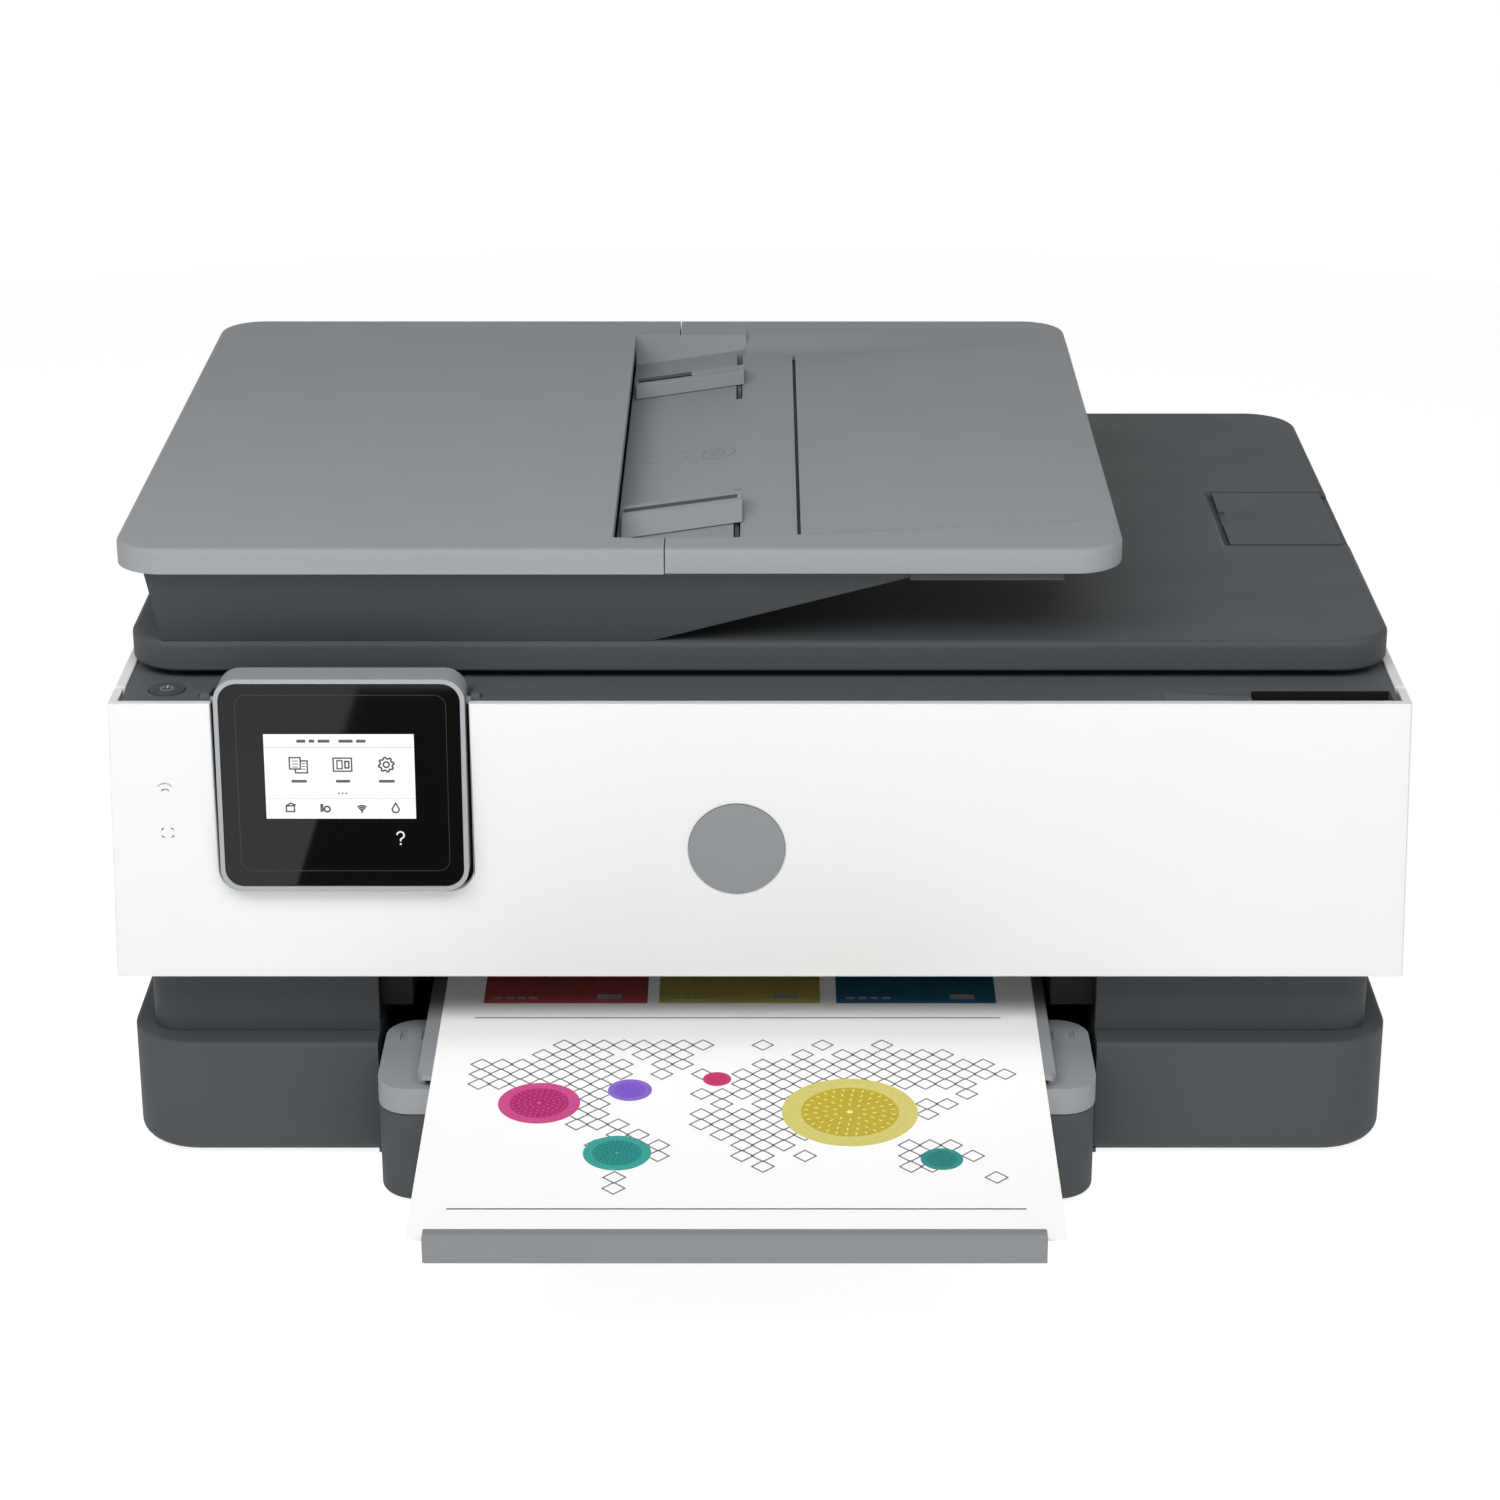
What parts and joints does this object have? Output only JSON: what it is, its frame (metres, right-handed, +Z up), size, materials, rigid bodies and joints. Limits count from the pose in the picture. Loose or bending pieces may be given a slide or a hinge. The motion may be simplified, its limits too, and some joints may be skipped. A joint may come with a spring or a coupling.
{
  "type": "inkjet printer",
  "caption": "All-in-one inkjet printer with a document feeder on its lid, a tilting touch panel, a drop-down door, a paper drawer and an extended output tray holding a printed sheet.",
  "frame": {"origin": "centre of the bounding box at the height of the table, on the plane of the feet", "axes": "+Z up; -Y is the front, where the paper comes out; +X is the printer's right side as seen from the front"},
  "size_m": [0.46, 0.4564, 0.234],
  "materials": {
    "white_case": "satin white",
    "dark_case": "fine texture, dark grey",
    "grey_case": "fine texture, mid grey",
    "badge": "satin grey",
    "panel_glass": "polished black",
    "display": "lit display",
    "scan_glass": "clear",
    "rubber_feet": "matt",
    "lid_foam": "soft white foam sheet",
    "inner_black": "matt black",
    "ink_case": "satin black",
    "steel_parts": "zinc plated",
    "strip": "clear film",
    "belts": "matt",
    "rollers": "matt grey",
    "service_unit": "matt",
    "gear_plastic": "satin",
    "circuit_board": "solder mask",
    "supply_case": "satin",
    "sheet_paper": "plain"
  },
  "bodies": {
    "chassis": {"base_case": "dark_case", "feet": "rubber_feet", "inner_frame": "dark_case", "rear_panel": "dark_case", "side_panel_left": "white_case", "side_panel_right": "white_case", "top_deck": "dark_case", "lid_hinge_posts": "dark_case", "scanner_glass": "scan_glass", "scanner_tub": "inner_black", "scan_rail": "steel_parts", "print_rail": "steel_parts", "encoder_strip": "strip", "carriage_belt": "belts", "paper_chute": "inner_black", "rear_paper_guide": "inner_black", "transport_belt": "belts", "service_station": "service_unit", "main_board": "circuit_board", "port_block": "inner_black", "power_supply": "supply_case", "drive_motors": "steel_parts", "pickup_arm": "inner_black", "case_screws": "steel_parts"},
    "front_door_unit": {"front_door": "white_case", "door_liner": "dark_case", "door_badge": "badge"},
    "control_panel": {"panel_housing": "grey_case", "panel_glass": "panel_glass", "display": "display", "panel_back": "dark_case"},
    "power_key": {"power_button": "dark_case"},
    "scanner_lid": {"lid_cover": "dark_case", "lid_liner": "dark_case", "lid_pad": "lid_foam", "adf_base": "dark_case", "adf_tray": "grey_case"},
    "feeder_cover": {"adf_cover": "grey_case"},
    "feeder_pick_roller": {"adf_pick_roller": "rollers"},
    "feeder_drive_roller": {"adf_feed_roller": "rollers"},
    "feeder_guide_front": {"guide_front": "grey_case"},
    "feeder_guide_rear": {"guide_rear": "grey_case"},
    "feeder_guide_pinion": {"guide_pinion": "gear_plastic"},
    "feeder_extension": {"adf_extension": "grey_case"},
    "stop_flap": {"document_stop": "dark_case"},
    "paper_drawer": {"input_tray": "dark_case", "output_tray": "grey_case"},
    "drawer_guide_left": {"paper_guide_left": "grey_case"},
    "drawer_guide_right": {"paper_guide_right": "grey_case"},
    "output_extension": {"tray_extension": "grey_case", "printed_sheet": "sheet_paper"},
    "scan_carriage": {"scan_head": "inner_black"},
    "print_carriage": {"carriage": "inner_black", "ink_cartridges": "ink_case"},
    "belt_pulley_drive": {"drive_pulley": "steel_parts"},
    "belt_pulley_idler": {"idler_pulley": "steel_parts"},
    "paper_feed_roller": {"feed_roller": "rollers"},
    "paper_exit_roller": {"exit_roller": "rollers"},
    "feed_motor_pinion": {"motor_pinion": "steel_parts"},
    "tray_pickup_roller": {"pickup_roller": "rollers"}
  },
  "joints": [
    {"name": "front_door_hinge", "type": "hinge", "parent": "chassis", "child": "front_door_unit", "pos_m": [0, -0.0738, 0.0797], "axis": [1, 0, 0], "range_deg": [0, 90]},
    {"name": "control_panel_tilt", "type": "hinge", "parent": "chassis", "child": "control_panel", "pos_m": [-0.1463, -0.0719, 0.1781], "axis": [-1, 0, 0], "range_deg": [0, 40]},
    {"name": "power_key_press", "type": "slide", "parent": "chassis", "child": "power_key", "axis": [0, 0, -1], "range_m": [0, 0.0012], "stiffness_N_per_m": 400},
    {"name": "lid_hinge", "type": "hinge", "parent": "chassis", "child": "scanner_lid", "pos_m": [0, 0.2196, 0.186], "axis": [-1, 0, 0], "range_deg": [0, 75]},
    {"name": "feeder_cover_hinge", "type": "hinge", "parent": "scanner_lid", "child": "feeder_cover", "pos_m": [-0.2185, 0.0756, 0.2274], "axis": [0, -1, 0], "range_deg": [0, 70]},
    {"name": "feeder_pick_spin", "type": "hinge", "parent": "scanner_lid", "child": "feeder_pick_roller", "pos_m": [-0.078, 0.0756, 0.214], "axis": [0, 1, 0], "continuous": true},
    {"name": "feeder_drive_spin", "type": "hinge", "parent": "scanner_lid", "child": "feeder_drive_roller", "pos_m": [-0.12, 0.0756, 0.214], "axis": [0, 1, 0], "continuous": true},
    {"name": "feeder_guide_front_slide", "type": "slide", "parent": "scanner_lid", "child": "feeder_guide_front", "axis": [0, -1, 0], "range_m": [-0.02, 0.0305]},
    {"name": "feeder_guide_rear_slide", "type": "slide", "parent": "scanner_lid", "child": "feeder_guide_rear", "axis": [0, 1, 0], "range_m": [-0.02, 0.0305]},
    {"name": "feeder_guide_pinion_spin", "type": "hinge", "parent": "scanner_lid", "child": "feeder_guide_pinion", "pos_m": [-0.024, 0.0736, 0.217], "axis": [0, 0, 1], "range_deg": [-150, 220]},
    {"name": "feeder_extension_hinge", "type": "hinge", "parent": "scanner_lid", "child": "feeder_extension", "pos_m": [0.1215, 0.0781, 0.2318], "axis": [0, 1, 0], "range_deg": [0, 170]},
    {"name": "stop_flap_hinge", "type": "hinge", "parent": "scanner_lid", "child": "stop_flap", "pos_m": [0.2205, 0.0842, 0.1928], "axis": [0, 1, 0], "range_deg": [0, 110]},
    {"name": "drawer_slide", "type": "slide", "parent": "chassis", "child": "paper_drawer", "axis": [0, -1, 0], "range_m": [0, 0.15]},
    {"name": "drawer_guide_left_slide", "type": "slide", "parent": "paper_drawer", "child": "drawer_guide_left", "axis": [1, 0, 0], "range_m": [0, 0.05]},
    {"name": "drawer_guide_right_slide", "type": "slide", "parent": "paper_drawer", "child": "drawer_guide_right", "axis": [-1, 0, 0], "range_m": [0, 0.05]},
    {"name": "output_extension_slide", "type": "slide", "parent": "paper_drawer", "child": "output_extension", "axis": [0, -0.9992, -0.0389], "range_m": [-0.1, 0]},
    {"name": "scan_carriage_slide", "type": "slide", "parent": "chassis", "child": "scan_carriage", "axis": [1, 0, 0], "range_m": [0, 0.33]},
    {"name": "print_carriage_slide", "type": "slide", "parent": "chassis", "child": "print_carriage", "axis": [-1, 0, 0], "range_m": [0, 0.3]},
    {"name": "drive_pulley_spin", "type": "hinge", "parent": "chassis", "child": "belt_pulley_drive", "pos_m": [-0.203, 0.0736, 0.114], "axis": [0, -1, 0], "continuous": true},
    {"name": "idler_pulley_spin", "type": "hinge", "parent": "chassis", "child": "belt_pulley_idler", "pos_m": [0.203, 0.0736, 0.114], "axis": [0, -1, 0], "continuous": true},
    {"name": "paper_feed_spin", "type": "hinge", "parent": "chassis", "child": "paper_feed_roller", "pos_m": [0, 0.0736, 0.068], "axis": [1, 0, 0], "continuous": true},
    {"name": "paper_exit_spin", "type": "hinge", "parent": "chassis", "child": "paper_exit_roller", "pos_m": [0, 0.0026, 0.068], "axis": [1, 0, 0], "continuous": true},
    {"name": "feed_motor_spin", "type": "hinge", "parent": "chassis", "child": "feed_motor_pinion", "pos_m": [-0.152, 0.0904, 0.068], "axis": [1, 0, 0], "continuous": true},
    {"name": "tray_pickup_spin", "type": "hinge", "parent": "chassis", "child": "tray_pickup_roller", "pos_m": [-0.009, 0.1336, 0.041], "axis": [1, 0, 0], "continuous": true}
  ],
  "couplings": [
    {"joint": "feeder_guide_rear_slide", "follows": "feeder_guide_front_slide", "ratio": 1},
    {"joint": "feeder_guide_pinion_spin", "follows": "feeder_guide_front_slide", "rad_per_m": 125},
    {"joint": "drawer_guide_right_slide", "follows": "drawer_guide_left_slide", "ratio": 1},
    {"joint": "drive_pulley_spin", "follows": "print_carriage_slide", "rad_per_m": 130.72},
    {"joint": "idler_pulley_spin", "follows": "print_carriage_slide", "rad_per_m": 130.72},
    {"joint": "paper_exit_spin", "follows": "paper_feed_spin", "ratio": 1},
    {"joint": "feed_motor_spin", "follows": "paper_feed_spin", "ratio": -2.5}
  ]
}
